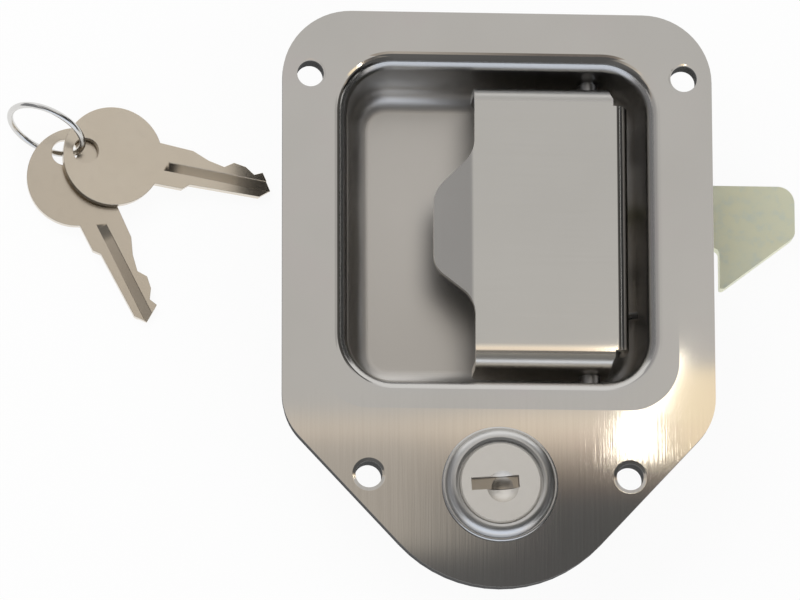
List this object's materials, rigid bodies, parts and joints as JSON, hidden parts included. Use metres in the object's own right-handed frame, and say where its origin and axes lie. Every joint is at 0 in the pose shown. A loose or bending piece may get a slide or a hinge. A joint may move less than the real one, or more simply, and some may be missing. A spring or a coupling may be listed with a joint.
{
  "type": "flush paddle latch",
  "caption": "Flush paddle latch on a teardrop stainless plate: drawn dish, bent paddle with finger tongue, sliding bolt with a bevelled nose, cam lock, rubber gasket and keys on a ring.",
  "frame": {"origin": "centre of the dish on the panel face, which is the rear face of the gasket", "axes": "+X towards the bolt's nose, +Y up the plate away from the lock, +Z out of the front of the plate; the latch lies on its back"},
  "size_m": [0.1654, 0.1206, 0.0334],
  "materials": {
    "stainless_plate": "stainless sheet, drawn and lightly brushed, lip and walls burnished by the die",
    "stainless_paddle": "stainless sheet with its mill grain",
    "gasket_rubber": "black closed-cell rubber, matt",
    "zinc_steel": "steel, zinc plated, pale yellow and blue bloom",
    "bright_steel": "bright plated steel",
    "spring_steel": "spring wire and spring strip, oiled",
    "lock_chrome": "zinc die casting, chrome plated",
    "lock_nickel": "zinc die casting, nickel plated, turned face",
    "key_nickel": "nickel-plated brass blank with cut edges"
  },
  "bodies": {
    "housing": {"pan": "stainless_plate", "flange_gasket": "gasket_rubber", "bolt_case": "zinc_steel", "case_rivets": "bright_steel", "hinge_pin": "bright_steel", "pin_spacers": "bright_steel", "pin_push_nut": "spring_steel", "paddle_spring": "spring_steel", "bolt_spring": "spring_steel", "lock_body": "lock_chrome", "lock_washer": "bright_steel", "lock_nut": "zinc_steel"},
    "handle": {"paddle": "stainless_paddle", "drive_arm": "zinc_steel"},
    "slide_bolt": {"bolt": "zinc_steel"},
    "plug": {"lock_plug": "lock_nickel", "keyway_shutter": "lock_nickel", "lock_cam": "zinc_steel", "cam_washer": "bright_steel", "cam_screw": "bright_steel"},
    "ring": {"key_ring": "bright_steel"},
    "front_key": {"key_front": "key_nickel"},
    "rear_key": {"key_rear": "key_nickel"}
  },
  "joints": [
    {"name": "paddle_hinge", "type": "hinge", "parent": "housing", "child": "handle", "pos_m": [0.0196, 0, -0.0053], "axis": [0, 1, 0], "range_deg": [0, 40], "stiffness_Nm_per_rad": 0.05, "deforming": ["paddle_spring"]},
    {"name": "bolt_slide", "type": "slide", "parent": "housing", "child": "slide_bolt", "axis": [-1, 0, 0], "range_m": [0, 0.0108], "deforming": ["bolt_spring"]},
    {"name": "lock_turn", "type": "hinge", "parent": "housing", "child": "plug", "pos_m": [0, -0.05475, 0], "axis": [0, 0, 1], "range_deg": [-90, 0]},
    {"name": "ring_lift", "type": "slide", "parent": "housing", "child": "ring", "axis": [0, 0, 1], "range_m": [0, 0.05]},
    {"name": "front_key_swing", "type": "hinge", "parent": "ring", "child": "front_key", "pos_m": [-0.0844, 0.02012, -0.02002], "axis": [0.1239, -0.0192, 0.9921], "range_deg": [-8, 8]},
    {"name": "rear_key_swing", "type": "hinge", "parent": "ring", "child": "rear_key", "pos_m": [-0.08872, 0.02047, -0.02313], "axis": [0.0216, -0.0419, 0.9989], "range_deg": [-8, 8]}
  ],
  "couplings": [
    {"joint": "bolt_slide", "follows": "paddle_hinge", "m_per_rad": 0.01547}
  ]
}
